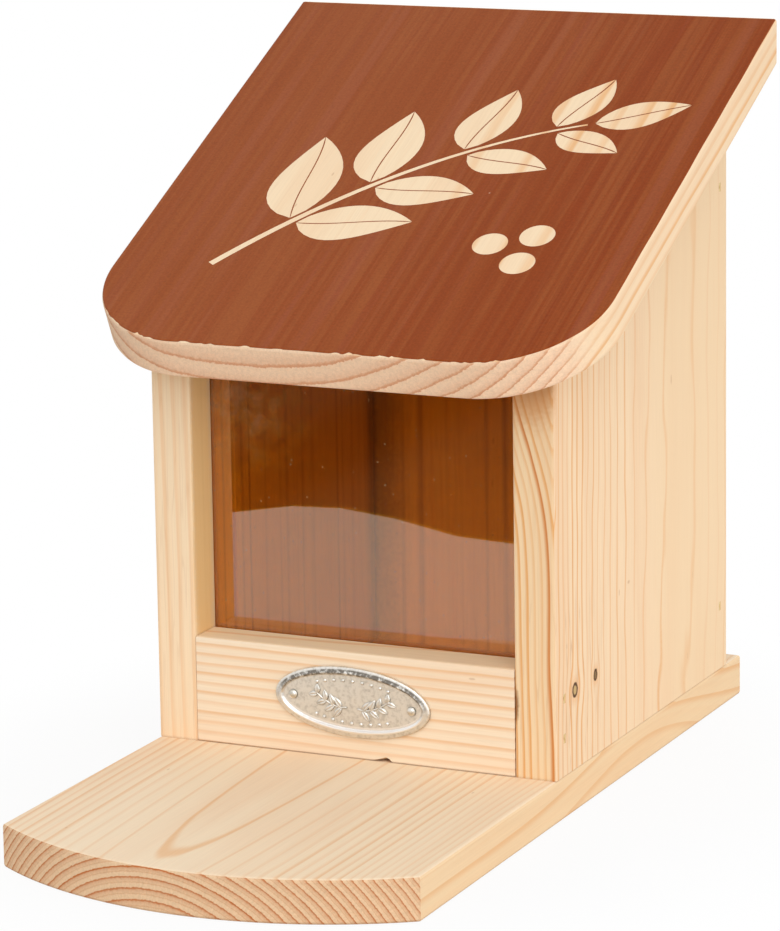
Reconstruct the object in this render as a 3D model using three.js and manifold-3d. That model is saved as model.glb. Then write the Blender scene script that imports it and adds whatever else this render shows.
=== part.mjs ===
// Squirrel feeder box of planed pine, with a hinged roof and a see-through front.
// Lengths are in millimetres. X runs across the box, the front faces -Y and Z is up.
// The origin is at the middle of the base board's underside.

import * as THREE from "three";
import { mergeVertices } from "three/addons/utils/BufferGeometryUtils.js";
import Module from "manifold-3d";

// Planks
const plankThickness = 12;
const arrisRadius = 0.8;

// Box
const boxWidth = 120;
const boxDepth = 131;
const wallFrontHeight = 115;
const wallRearHeight = 178;

// Base board: the perch lies in front of the box and has a bowed front edge
const perchLength = 108;
const baseRearLedge = 11;
const baseFrontSagitta = 19;

// Roof board, whose upper face reaches past the box at the sides and in front
const roofSideOverhang = 15;
const roofFrontOverhang = 22.2;
const roofCornerRadius = 33;
const roofSeatGap = 0.3;

// Front rail, with a chip torn out of its lower edge
const railHeight = 30;
const railFootArris = 0.4;
const chipStart = 3.1;
const chipLength = 8.4;
const chipHeight = 1.3;
const chipDepth = 3.2;
const chipEdgeShares = [[0, 0], [0.35, 0.2], [0.6, 0.62], [0.77, 1], [0.9, 0.7], [1, 0.1]];

// Window pane, in saw kerfs of the side walls
const paneThickness = 2;
const paneTopGap = 1.5;
const kerfDepth = 4;
const kerfClearance = 0.3;

// Hanging hole in the back wall
const hangingHoleRadius = 4;
const hangingHoleDrop = 22;

// Brads, with flat shanks and narrow heads set below the surface
const bradLength = 30;
const bradShankWidth = 1.3;
const bradThickness = 1.1;
const bradHeadWidth = 2.2;
const bradHeadHeight = 0.8;
const bradPointLength = 1.5;
const bradSink = 0.6;
const bradClearance = 0.2;
const railBradShares = [0.35, 0.72];
const backBradShares = [0.11, 0.83];
const baseWallBradShares = [0.2, 0.75];
const baseBackBradShares = [-0.2, 0.2];

// Oval plate on the rail
const plateLength = 46.5;
const plateHeight = 19.7;
const plateThickness = 0.7;
const plateRimWidth = 2.4;
const plateRimHeight = 0.6;
const plateRimShares = [
  [0, 0], [0.04, 0.3], [0.13, 0.55], [0.5, 0.78], [0.7, 1], [0.8, 0.95], [0.92, 0.35], [1, 0],
];
const plateTurnDegrees = 2.2;
const plateHeightShare = 0.535;
const platePinShare = 0.768;

// Pins of the plate
const pinLength = 9;
const pinShankRadius = 0.6;
const pinHeadRadius = 1.3;
const pinHeadHeight = 0.7;
const pinPointLength = 1.5;
const pinClearance = 0.15;

// Hinges at the rear, each near one end of the back wall
const hingeLength = 25;
const hingeEndMargin = 0.5;
const leafHeight = 11;
const leafThickness = 1;
const leafCornerRadius = 1.2;
const barrelRadius = 2;
const barrelStandoff = 0.2;
const knuckleGap = 0.4;
const leafNeckGap = 0.6;
const middleKnuckleShare = 0.4;
const hingePinRadius = 1;
const hingePinClearance = 0.15;
const hingePinProud = 0.4;

// Hinge screws
const screwLength = 9;
const screwShankRadius = 1.1;
const screwHeadRadius = 2;
const screwHeadCone = 0.8;
const screwHeadRim = 0.15;
const screwPointLength = 2;
const screwClearance = 0.15;
const screwSlotWidth = 0.5;
const screwSlotDepth = 0.45;
const screwRowShare = 0.62;
const screwSpreadShare = 0.27;

// Cutting
const cutOverrun = 2;
const weldDistance = 0.0001;
const roundSteps = 16;
const domeSteps = 3;
const cornerSteps = 24;
const arrisSteps = 2;
const bowSteps = 32;
const ovalSteps = 48;

// Sizes that follow from the ones above
const quarterTurn = Math.PI / 2;
const halfTurn = Math.PI;
const roofSlope = Math.atan2(wallRearHeight - wallFrontHeight, boxDepth);
const rise = Math.tan(roofSlope);
const roofWidth = boxWidth + roofSideOverhang + roofSideOverhang;
const roofTopLength = (boxDepth + roofFrontOverhang) / Math.cos(roofSlope);
const baseLength = perchLength + boxDepth + baseRearLedge;
const innerWidth = boxWidth - plankThickness - plankThickness;
const innerHalf = innerWidth / 2;
const boxRear = baseLength / 2 - baseRearLedge;
const boxFront = boxRear - boxDepth;
const backWallFront = boxRear - plankThickness;
const baseTop = plankThickness;
const wallSeatGap = roofSeatGap / Math.cos(roofSlope);
const kerfWidth = paneThickness + kerfClearance + kerfClearance;
const kerfFront = boxFront + plankThickness;
const paneFront = kerfFront + kerfClearance;
const hingeOffset = innerHalf - hingeEndMargin - hingeLength / 2;
const hingeAxisY = boxRear + barrelStandoff + barrelRadius;
const hingeAxisZ = baseTop + wallRearHeight;

const wasm = await Module();
wasm.setup();

// Materials

function pine(color = 0xf2d9b2) {
  return new THREE.MeshStandardMaterial({ color, roughness: 0.75, metalness: 0, flatShading: true });
}

function steel(color = 0xb9b4aa, roughness = 0.4) {
  return new THREE.MeshStandardMaterial({ color, roughness, metalness: 0.9 });
}

function acrylic() {
  return new THREE.MeshStandardMaterial({
    color: 0xc08a58, roughness: 0.08, metalness: 0, transparent: true, opacity: 0.4,
  });
}

// Solids

function solidOf(geometry) {
  const bare = geometry.clone();
  bare.deleteAttribute("normal");
  bare.deleteAttribute("uv");
  const welded = mergeVertices(bare, weldDistance);
  return new wasm.Manifold(new wasm.Mesh({
    numProp: 3,
    vertProperties: new Float32Array(welded.attributes.position.array),
    triVerts: new Uint32Array(welded.index.array),
  }));
}

function geometryOf(solid) {
  const mesh = solid.getMesh();
  const geometry = new THREE.BufferGeometry();
  geometry.setAttribute("position", new THREE.BufferAttribute(mesh.vertProperties, 3));
  geometry.setIndex(new THREE.BufferAttribute(mesh.triVerts, 1));
  geometry.computeVertexNormals();
  return geometry;
}

function cut(geometry, cutters) {
  let solid = solidOf(geometry);
  for (const cutter of cutters) solid = solid.subtract(solidOf(cutter));
  return geometryOf(solid);
}

function join(geometries) {
  return geometryOf(geometries.map(solidOf).reduce((whole, piece) => whole.add(piece)));
}

function place(name, geometry, material, [x, y, z]) {
  const mesh = new THREE.Mesh(geometry, material);
  mesh.name = name;
  mesh.position.set(x, y, z);
  return mesh;
}

// An outline through corners [x, y, radius], each rounded by its own radius.
function outline(corners) {
  const shape = new THREE.Shape();
  corners.forEach(([x, y, radius], index) => {
    const here = new THREE.Vector2(x, y);
    const before = new THREE.Vector2(...corners.at(index - 1));
    const after = new THREE.Vector2(...corners[(index + 1) % corners.length]);
    const enter = before.sub(here).setLength(radius).add(here);
    const leave = after.sub(here).setLength(radius).add(here);
    if (index === 0) shape.moveTo(enter.x, enter.y);
    else shape.lineTo(enter.x, enter.y);
    if (radius > 0) shape.quadraticCurveTo(x, y, leave.x, leave.y);
  });
  shape.closePath();
  return shape;
}

function rectangle(left, right, low, high, radius = 0) {
  return outline([[left, low, radius], [right, low, radius], [right, high, radius], [left, high, radius]]);
}

function extrude(shape, depth, curveSegments = arrisSteps) {
  return new THREE.ExtrudeGeometry(shape, { depth, bevelEnabled: false, curveSegments });
}

// A plank cut to an outline seen from above, with eased edges all round.
function plank(shape, curveSegments) {
  const geometry = new THREE.ExtrudeGeometry(shape, {
    depth: plankThickness - arrisRadius - arrisRadius,
    bevelThickness: arrisRadius,
    bevelSize: arrisRadius,
    bevelOffset: -arrisRadius,
    bevelSegments: arrisSteps,
    curveSegments,
  });
  return geometry.translate(0, 0, arrisRadius);
}

// A profile drawn as (y, z) that runs across the box, centred on x = 0.
function extrudeAcross(shape, width) {
  return extrude(shape, width).rotateX(quarterTurn).rotateZ(quarterTurn).translate(-width / 2, 0, 0);
}

// A round solid whose head faces +Y at y = 0, from a half profile of [radius, y].
function turned(profile) {
  const points = profile.map(([radius, y]) => new THREE.Vector2(radius, y));
  return new THREE.LatheGeometry(points, roundSteps);
}

// Fasteners. Each profile serves the piece, and its hole with a clearance added.

// A brad points down -Y, with the top of its head at the given height, and its head is
// long in X. Its hole is the same form with a clearance, open past the surface.
function brad(clearance = 0, headTop = 0) {
  const shank = bradShankWidth / 2 + clearance;
  const head = bradHeadWidth / 2 + clearance;
  const neck = -bradHeadHeight - clearance;
  const tip = -bradLength - clearance;
  const shoulder = tip + bradPointLength;
  const thickness = bradThickness + clearance + clearance;
  const right = [[shank, shoulder], [shank, neck], [head, neck], [head, headTop]];
  const left = right.map(([x, y]) => [-x, y]).reverse();
  const shape = outline([[0, tip], ...right, ...left].map(([x, y]) => [x, y, 0]));
  return extrude(shape, thickness).translate(0, 0, -thickness / 2);
}

function bradHoleAt(turn, [x, y, z]) {
  return brad(bradClearance, bradSink + cutOverrun)
    .applyMatrix4(new THREE.Matrix4().makeRotationFromEuler(turn)).translate(x, y, z);
}

function pinProfile(clearance = 0) {
  const shank = pinShankRadius + clearance;
  const tip = -pinLength - clearance;
  return [[0, tip], [shank, tip + pinPointLength], [shank, 0], [0, 0]];
}

function pinWithHead() {
  const dome = [];
  for (let step = 0; step < domeSteps; step += 1) {
    const turn = (quarterTurn * step) / domeSteps;
    dome.push([pinHeadRadius * Math.cos(turn), pinHeadHeight * Math.sin(turn)]);
  }
  return turned([...pinProfile().slice(0, -1), ...dome, [0, pinHeadHeight]]);
}

function screwProfile(clearance = 0) {
  const shank = screwShankRadius + clearance;
  const head = screwHeadRadius + clearance;
  const neck = -screwHeadRim - screwHeadCone - clearance;
  const tip = -screwLength - clearance;
  const rim = -screwHeadRim - clearance;
  return [[0, tip], [shank, tip + screwPointLength], [shank, neck], [head, rim], [head, 0], [0, 0]];
}

function slottedScrew() {
  const reach = screwHeadRadius + cutOverrun;
  const slot = new THREE.BoxGeometry(reach + reach, screwSlotDepth + screwSlotDepth, screwSlotWidth);
  return cut(turned(screwProfile()), [slot]);
}

// A round hole for a fastener at a place [x, y, z], open past the surface.
function holeFor(profile, [x, y, z], turn) {
  const mouth = profile.at(-2)[0];
  const open = [...profile.slice(0, -1), [mouth, cutOverrun], [0, cutOverrun]];
  return turned(open).applyMatrix4(new THREE.Matrix4().makeRotationFromEuler(turn)).translate(x, y, z);
}

const headFront = new THREE.Euler(0, 0, halfTurn);
const headRear = new THREE.Euler(0, 0, 0);

// Turns of the brads, with the long side of each head along the grain of its board.
const bradTurns = {
  right: new THREE.Euler(quarterTurn, 0, -quarterTurn),
  left: new THREE.Euler(quarterTurn, 0, quarterTurn),
  down: new THREE.Euler(-quarterTurn, 0, quarterTurn, "ZYX"),
};

// Places of the brads: two on each side hold the rail and two the back wall, and the
// rest are driven up through the base board.

function sideBrads(sideName, side) {
  const outer = side * (boxWidth / 2 - bradSink);
  const backHeight = wallFrontHeight + (boxDepth - plankThickness) * rise;
  const turn = bradTurns[sideName];
  return ["lower", "upper"].flatMap((row, index) => [
    {
      name: `${sideName}_rail_brad_${row}`,
      spot: [outer, boxFront + plankThickness / 2, baseTop + railHeight * railBradShares[index]],
      turn,
    },
    {
      name: `${sideName}_back_brad_${row}`,
      spot: [outer, boxRear - plankThickness / 2, baseTop + backHeight * backBradShares[index]],
      turn,
    },
  ]);
}

function baseWallBrads(sideName, side) {
  return ["front", "rear"].map((row, index) => ({
    name: `${sideName}_base_brad_${row}`,
    spot: [
      side * (innerHalf + plankThickness / 2),
      boxFront + boxDepth * baseWallBradShares[index],
      bradSink,
    ],
    turn: bradTurns.down,
  }));
}

function baseBackBrads() {
  return ["left", "right"].map((sideName, index) => ({
    name: `back_base_brad_${sideName}`,
    spot: [innerWidth * baseBackBradShares[index], boxRear - plankThickness / 2, bradSink],
    turn: bradTurns.down,
  }));
}

const brads = [
  ...sideBrads("left", -1), ...sideBrads("right", 1),
  ...baseWallBrads("left", -1), ...baseWallBrads("right", 1), ...baseBackBrads(),
];

// The brad holes of a piece whose own origin lies at the given place.
function bradHoles([x, y, z]) {
  return brads.map(({ spot, turn }) => bradHoleAt(turn, [spot[0] - x, spot[1] - y, spot[2] - z]));
}

function bradMesh({ name, spot, turn }) {
  const mesh = place(name, brad(), steel(0x9a7a50, 0.6), spot);
  mesh.rotation.copy(turn);
  return mesh;
}

// Base board: straight sides and rear, and a front bowed out to the length of the board.
function baseBoard() {
  const half = boxWidth / 2;
  const rear = baseLength / 2;
  const corner = -rear + baseFrontSagitta;
  const bowRadius = ((half * half) / baseFrontSagitta + baseFrontSagitta) / 2;
  const bowTurn = Math.asin(half / bowRadius);
  const shape = new THREE.Shape();
  shape.moveTo(half, rear);
  shape.lineTo(-half, rear);
  shape.lineTo(-half, corner);
  shape.absarc(0, bowRadius - rear, bowRadius, -quarterTurn - bowTurn, -quarterTurn + bowTurn, false);
  shape.closePath();
  return place("base_board", cut(plank(shape, bowSteps), bradHoles([0, 0, 0])), pine(), [0, 0, 0]);
}

// Height of the sloping wall tops above the base board, at a depth from the box's front.
function seatAt(depth) {
  return wallFrontHeight - wallSeatGap + depth * rise;
}

// All that lies above the slope of the wall tops, from the box's front lower edge.
function aboveSeat() {
  const start = -cutOverrun;
  const end = boxDepth + cutOverrun;
  const top = Math.max(wallFrontHeight, wallRearHeight, seatAt(start), seatAt(end)) + cutOverrun;
  const shape = outline([[start, seatAt(start), 0], [end, seatAt(end), 0], [end, top, 0], [start, top, 0]]);
  return extrudeAcross(shape, boxWidth);
}

// Side wall: its own origin is at the front lower edge, on the middle of its thickness.
// A saw kerf runs down the whole inner face for the pane.
function sideWall(side) {
  const half = plankThickness / 2;
  const kerfStart = kerfFront - boxFront;
  const kerfEnd = kerfStart + kerfWidth;
  const inner = -half;
  const kerfFloor = inner + kerfDepth;
  const corners = [
    [half, 0, arrisRadius], [half, boxDepth, arrisRadius], [inner, boxDepth, arrisRadius],
    [inner, kerfEnd, 0], [kerfFloor, kerfEnd, 0], [kerfFloor, kerfStart, 0], [inner, kerfStart, 0],
    [inner, 0, arrisRadius],
  ];
  const section = outline(corners.map(([x, y, radius]) => [side * x, y, radius]));
  const stock = extrude(section, wallRearHeight);
  const spot = [side * (innerHalf + half), boxFront, baseTop];
  const name = side > 0 ? "right_side_wall" : "left_side_wall";
  const cutters = [aboveSeat(), ...bradHoles(spot)];
  return place(name, cut(stock, cutters), pine(), spot);
}

// Back wall: between the side walls, bevelled on top to the slope of the roof.
function backWall() {
  const front = boxDepth - plankThickness;
  const profile = outline([
    [0, 0, 0], [plankThickness, 0, 0], [plankThickness, seatAt(boxDepth), 0], [0, seatAt(front), 0],
  ]);
  const spot = [0, backWallFront, baseTop];
  const holeLength = plankThickness + cutOverrun + cutOverrun;
  const hole = new THREE.CylinderGeometry(hangingHoleRadius, hangingHoleRadius, holeLength, roundSteps)
    .translate(0, plankThickness / 2, seatAt(front) - hangingHoleDrop);
  const leafScrewHoles = hingeCentres.flatMap((x) => leafScrewHolesAt(x, -1, spot));
  const cutters = [hole, ...leafScrewHoles, ...bradHoles(spot)];
  return place("back_wall", cut(extrudeAcross(profile, innerWidth), cutters), pine(), spot);
}

// The chip's room: its upper side slopes down from the rail's face to nothing inside.
function railChip() {
  const slope = Math.atan2(chipHeight, chipDepth);
  const end = chipStart + chipLength;
  const edge = chipEdgeShares.map(([along, up]) => [chipStart + chipLength * along, chipHeight * up, 0]);
  const shape = outline([[chipStart, -cutOverrun, 0], ...edge, [end, -cutOverrun, 0]]);
  return extrude(shape, chipDepth + cutOverrun)
    .rotateX(quarterTurn).translate(0, chipDepth, 0).rotateX(-slope);
}

// Front rail: low board under the window, flush with the front of the side walls.
function frontRail() {
  const profile = outline([
    [0, 0, railFootArris], [plankThickness, 0, railFootArris],
    [plankThickness, railHeight, arrisRadius], [0, railHeight, arrisRadius],
  ]);
  const spot = [0, boxFront, baseTop];
  const pinHoles = platePinSpots().map(([x, z]) =>
    holeFor(pinProfile(pinClearance), [x, -plateThickness, z], headFront));
  const cutters = [railChip(), ...pinHoles, ...bradHoles(spot)];
  return place("front_rail", cut(extrudeAcross(profile, innerWidth), cutters), pine(), spot);
}

// Window pane: stands on the base board behind the rail, with its edges in the kerfs.
function windowPane() {
  const width = innerWidth + kerfDepth + kerfDepth - kerfClearance - kerfClearance;
  const height = wallFrontHeight + (paneFront - boxFront) * rise - paneTopGap;
  const pane = new THREE.BoxGeometry(width, paneThickness, height);
  const spot = [0, paneFront + paneThickness / 2, baseTop + height / 2];
  return place("window_pane", pane, acrylic(), spot);
}

// Places of the plate's pins on the rail, as [x, z] from the rail's lower edge.
function platePinSpots() {
  const turn = THREE.MathUtils.degToRad(plateTurnDegrees);
  const reach = (plateLength / 2) * platePinShare;
  const middle = railHeight * plateHeightShare;
  return [-1, 1].map((side) => [
    side * reach * Math.cos(turn), middle - side * reach * Math.sin(turn),
  ]);
}

// A solid whose level rings are ovals, given as [inset, height] from the bottom up.
function ovalStack(halfLength, halfHeight, rings) {
  const points = rings.flatMap(([inset, height]) => Array.from({ length: ovalSteps }, (_, step) => {
    const turn = ((halfTurn + halfTurn) * step) / ovalSteps;
    return [(halfLength - inset) * Math.cos(turn), (halfHeight - inset) * Math.sin(turn), height];
  }));
  const at = (ring, step) => ring * ovalSteps + (step % ovalSteps);
  const last = rings.length - 1;
  const index = [];
  for (let step = 0; step < ovalSteps; step += 1) {
    for (let ring = 0; ring < last; ring += 1) {
      index.push(at(ring, step), at(ring, step + 1), at(ring + 1, step + 1));
      index.push(at(ring, step), at(ring + 1, step + 1), at(ring + 1, step));
    }
  }
  for (let step = 2; step < ovalSteps; step += 1) {
    index.push(at(0, 0), at(0, step), at(0, step - 1));
    index.push(at(last, 0), at(last, step - 1), at(last, step));
  }
  const geometry = new THREE.BufferGeometry();
  geometry.setAttribute("position", new THREE.Float32BufferAttribute(points.flat(), 3));
  return geometry.setIndex(index);
}

// Oval plate with a raised rim that falls steeply to the field, pinned on slightly askew.
function ovalPlate() {
  const rim = plateRimShares.map(([across, up]) => [
    plateRimWidth * across, plateThickness + plateRimHeight * up,
  ]);
  const stock = ovalStack(plateLength / 2, plateHeight / 2, [[0, 0], ...rim]);
  const reach = (plateLength / 2) * platePinShare;
  const pinHoleRadius = pinShankRadius + pinClearance;
  const pinHoles = [-reach, reach].map((x) =>
    new THREE.CylinderGeometry(pinHoleRadius, pinHoleRadius, cutOverrun + cutOverrun, roundSteps)
      .translate(x, 0, 0));
  const plate = cut(stock.rotateX(quarterTurn), pinHoles);
  const spot = [0, boxFront, baseTop + railHeight * plateHeightShare];
  const mesh = place("oval_plate", plate, steel(0xc9c5ba, 0.35), spot);
  mesh.rotation.y = THREE.MathUtils.degToRad(plateTurnDegrees);
  return mesh;
}

function platePins() {
  return platePinSpots().map(([x, z], index) => {
    const name = index === 0 ? "plate_pin_left" : "plate_pin_right";
    const spot = [x, boxFront - plateThickness - pinClearance, baseTop + z];
    const pin = place(name, pinWithHead(), steel(0xd8d5cc, 0.3), spot);
    pin.rotation.copy(headFront);
    return pin;
  });
}

// Hinges: each has a leaf on the back wall, a leaf on the roof and a pin through both.
const hingeCentres = [-hingeOffset, hingeOffset];

// Centres of a leaf's screws as [x, z], where rows lie above (1) or below (-1) the axis.
function leafScrewSpots(x, upDown) {
  return [-1, 1].map((side) => [
    x + side * hingeLength * screwSpreadShare, hingeAxisZ + upDown * leafHeight * screwRowShare,
  ]);
}

function leafScrewHolesAt(x, upDown, [originX, originY, originZ]) {
  return leafScrewSpots(x, upDown).map(([screwX, screwZ]) => holeFor(
    screwProfile(screwClearance),
    [screwX - originX, boxRear + leafThickness - originY, screwZ - originZ],
    headRear,
  ));
}

function leafPlate(upDown, neckSpans) {
  const half = hingeLength / 2;
  const shoulder = barrelRadius + leafNeckGap;
  const plateBody = rectangle(-half, half, shoulder, leafHeight, leafCornerRadius);
  const necks = neckSpans.map(([left, right]) => rectangle(left, right, 0, shoulder + leafCornerRadius));
  const layFlat = (shape) => extrude(shape, leafThickness)
    .rotateX(quarterTurn).translate(0, leafThickness, 0);
  const geometry = join([plateBody, ...necks].map(layFlat));
  return upDown > 0 ? geometry : geometry.rotateY(halfTurn);
}

// A leaf in the frame of its hinge: x from the hinge's middle, y and z from the axis.
function hingeLeaf(upDown, knuckleSpans) {
  const rearFace = -barrelStandoff - barrelRadius;
  const plate = leafPlate(upDown, knuckleSpans).translate(0, rearFace, 0);
  const knuckles = knuckleSpans.map(([left, right]) =>
    new THREE.CylinderGeometry(barrelRadius, barrelRadius, right - left, roundSteps)
      .rotateZ(quarterTurn).translate((left + right) / 2, 0, 0));
  const boreRadius = hingePinRadius + hingePinClearance;
  const boreLength = hingeLength + cutOverrun + cutOverrun;
  const bore = new THREE.CylinderGeometry(boreRadius, boreRadius, boreLength, roundSteps)
    .rotateZ(quarterTurn);
  const origin = [0, hingeAxisY, hingeAxisZ];
  return cut(join([plate, ...knuckles]), [bore, ...leafScrewHolesAt(0, upDown, origin)]);
}

function wallLeaf() {
  const half = (hingeLength * middleKnuckleShare) / 2;
  return hingeLeaf(-1, [[-half, half]]);
}

function roofLeaf() {
  const start = (hingeLength * middleKnuckleShare) / 2 + knuckleGap;
  return hingeLeaf(1, [[-hingeLength / 2, -start], [start, hingeLength / 2]]);
}

function hingePin() {
  const length = hingeLength + hingePinProud + hingePinProud;
  return new THREE.CylinderGeometry(hingePinRadius, hingePinRadius, length, roundSteps);
}

function leafScrews(prefix, x, upDown, [originX, originY, originZ]) {
  return leafScrewSpots(x, upDown).map(([screwX, screwZ], index) => place(
    `${prefix}_screw_${index === 0 ? "left" : "right"}`,
    slottedScrew(),
    steel(0xa9a59c, 0.35),
    [screwX - originX, boxRear + leafThickness - originY, screwZ - originZ],
  ));
}

// Roof board in its own frame: X across, Y up the slope and Z square to the board,
// from the middle of the underside's rear edge. The rear end is cut plumb.
function roofBoard(lidOrigin) {
  const half = roofWidth / 2;
  const plumbReach = plankThickness * rise;
  const front = plumbReach - roofTopLength;
  const rear = plumbReach + cutOverrun;
  const centre = half - roofCornerRadius;
  const shape = new THREE.Shape();
  shape.moveTo(half, rear);
  shape.lineTo(-half, rear);
  shape.absarc(-centre, front + roofCornerRadius, roofCornerRadius, -halfTurn, -quarterTurn, false);
  shape.absarc(centre, front + roofCornerRadius, roofCornerRadius, -quarterTurn, 0, false);
  shape.closePath();
  const behindPlumb = new THREE.BoxGeometry(roofWidth + cutOverrun, roofTopLength, roofTopLength)
    .translate(0, roofTopLength / 2, 0)
    .rotateX(-roofSlope);
  const toBoard = new THREE.Matrix4().makeRotationX(-roofSlope);
  const screwHoles = hingeCentres
    .flatMap((x) => leafScrewHolesAt(x, 1, [0, boxRear, hingeAxisZ]))
    .map((hole) => hole.applyMatrix4(toBoard));
  const spot = [0, boxRear - lidOrigin.y, hingeAxisZ - lidOrigin.z];
  const board = cut(plank(shape, cornerSteps), [behindPlumb, ...screwHoles]);
  const mesh = place("roof_board", board, pine(0x984a28), spot);
  mesh.rotation.x = roofSlope;
  return mesh;
}

// The lid turns about the hinge axis, so its group has its origin there.
function lid() {
  const group = new THREE.Group();
  group.position.set(0, hingeAxisY, hingeAxisZ);
  group.add(roofBoard(group.position));
  hingeCentres.forEach((x, index) => {
    const prefix = index === 0 ? "left_hinge_roof" : "right_hinge_roof";
    group.add(place(`${prefix}_leaf`, roofLeaf(), steel(), [x, 0, 0]));
    group.add(...leafScrews(prefix, x, 1, [0, hingeAxisY, hingeAxisZ]));
  });
  return group;
}

function wallHinges() {
  return hingeCentres.flatMap((x, index) => {
    const sideName = index === 0 ? "left" : "right";
    const prefix = `${sideName}_hinge_wall`;
    const pin = place(`${sideName}_hinge_pin`, hingePin(), steel(), [x, hingeAxisY, hingeAxisZ]);
    pin.rotation.z = quarterTurn;
    return [
      place(`${prefix}_leaf`, wallLeaf(), steel(), [x, hingeAxisY, hingeAxisZ]),
      pin,
      ...leafScrews(prefix, x, -1, [0, 0, 0]),
    ];
  });
}

const feeder = new THREE.Group();
feeder.add(
  baseBoard(), sideWall(-1), sideWall(1), backWall(), frontRail(), windowPane(),
  ovalPlate(), ...platePins(), ...brads.map(bradMesh), ...wallHinges(), lid(),
);

export default feeder;
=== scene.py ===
"""Looks of the squirrel feeder box: pine, roof paint, pane, metals, studio and camera.

Lengths are in metres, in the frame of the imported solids: X runs across the box, the front
faces -Y, Z is up, and the origin is at the middle of the base board's underside.
"""

import math
import random
from collections import namedtuple

import bmesh
import bpy
from mathutils import Matrix, Vector
from mathutils.geometry import delaunay_2d_cdt

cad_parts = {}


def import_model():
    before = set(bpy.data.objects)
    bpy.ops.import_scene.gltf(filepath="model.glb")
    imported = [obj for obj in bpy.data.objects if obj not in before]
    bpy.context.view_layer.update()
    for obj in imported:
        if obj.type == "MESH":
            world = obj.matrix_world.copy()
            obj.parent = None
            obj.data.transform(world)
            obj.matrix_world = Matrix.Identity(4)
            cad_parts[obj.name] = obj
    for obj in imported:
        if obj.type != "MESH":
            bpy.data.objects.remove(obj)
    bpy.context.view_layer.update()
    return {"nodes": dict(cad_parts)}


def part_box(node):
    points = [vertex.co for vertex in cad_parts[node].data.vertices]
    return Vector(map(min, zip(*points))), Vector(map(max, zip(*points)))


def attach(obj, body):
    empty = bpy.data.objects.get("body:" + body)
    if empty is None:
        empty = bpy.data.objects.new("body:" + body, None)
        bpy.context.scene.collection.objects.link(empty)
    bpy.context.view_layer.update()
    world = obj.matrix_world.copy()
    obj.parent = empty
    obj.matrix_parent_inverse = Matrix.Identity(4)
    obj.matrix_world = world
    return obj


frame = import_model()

nodes = frame["nodes"]
mm = 0.001

# Planks
plank_thickness = 12 * mm
arris_radius = 0.8 * mm

# Roof board, whose own frame runs across, up the slope and square to the board
roof_width = 150 * mm
roof_corner_radius = 33 * mm
roof_rear_edge = Vector((0, 114 * mm, 190 * mm))
roof_slope = math.atan2(63, 131)
roof_top_length = 170 * mm
roof_top_rear = plank_thickness * math.tan(roof_slope)
roof_top_front = roof_top_rear - roof_top_length
roof_leaf_spread = math.radians(54)

# Paint film on the roof
film_thickness = 0.06 * mm
film_sink = 0.03 * mm
film_inset = 0.26 * mm
film_rear_inset = 0.2 * mm
film_edge_step = 0.7 * mm
film_edge_wander = 0.12 * mm
film_chips = 34
film_chip_depth = 0.4 * mm
film_arris_turns = (0, 15, 30)

# Plate
plate_centre = Vector((0, -17 * mm, 28.05 * mm))
plate_length = 46.5 * mm
plate_height = 19.7 * mm
plate_thickness = 0.7 * mm
plate_sink = 0.05 * mm
plate_turn = math.radians(2.2)
twig_leaf_spread = math.radians(50)
bead_radius = 0.5 * mm
bead_height = 0.4 * mm
bead_insets = (6.6 * mm, 3.9 * mm)
bead_turn = math.radians(10)

# Brads and the crushed wood round them. Each row of the wood's section is a share of the
# head's size, a reach past it and a depth under the board's face.
brad_sink = 0.6 * mm
fibre_steps = 20
fibre_profile = ((1.0, 0.28 * mm, 0.05 * mm), (0.5, 0.0, 0.18 * mm), (0.45, 0.0, 0.5 * mm),
                 (1.0, 0.28 * mm, 0.5 * mm))

# Photograph's camera, found by fitting the sizes to points of the picture
image_width = 780
image_height = 931
focal_pixels = 4406.53
centre_x_pixels = 347.172
centre_y_pixels = 385.620
camera_azimuth = math.radians(25.3948)
camera_elevation = math.radians(11.4643)
camera_roll = math.radians(-0.9821)
camera_spot = Vector((499.0904 * mm, -1068.7125 * mm, 352.4516 * mm))
sensor_size = 36


def srgb(*levels):
    """Linear colour of an 8-bit screen colour."""
    shares = [level / 255 for level in levels]
    linear = [share / 12.92 if share <= 0.04045 else ((share + 0.055) / 1.055) ** 2.4
              for share in shares]
    return (*linear, 1)


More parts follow.
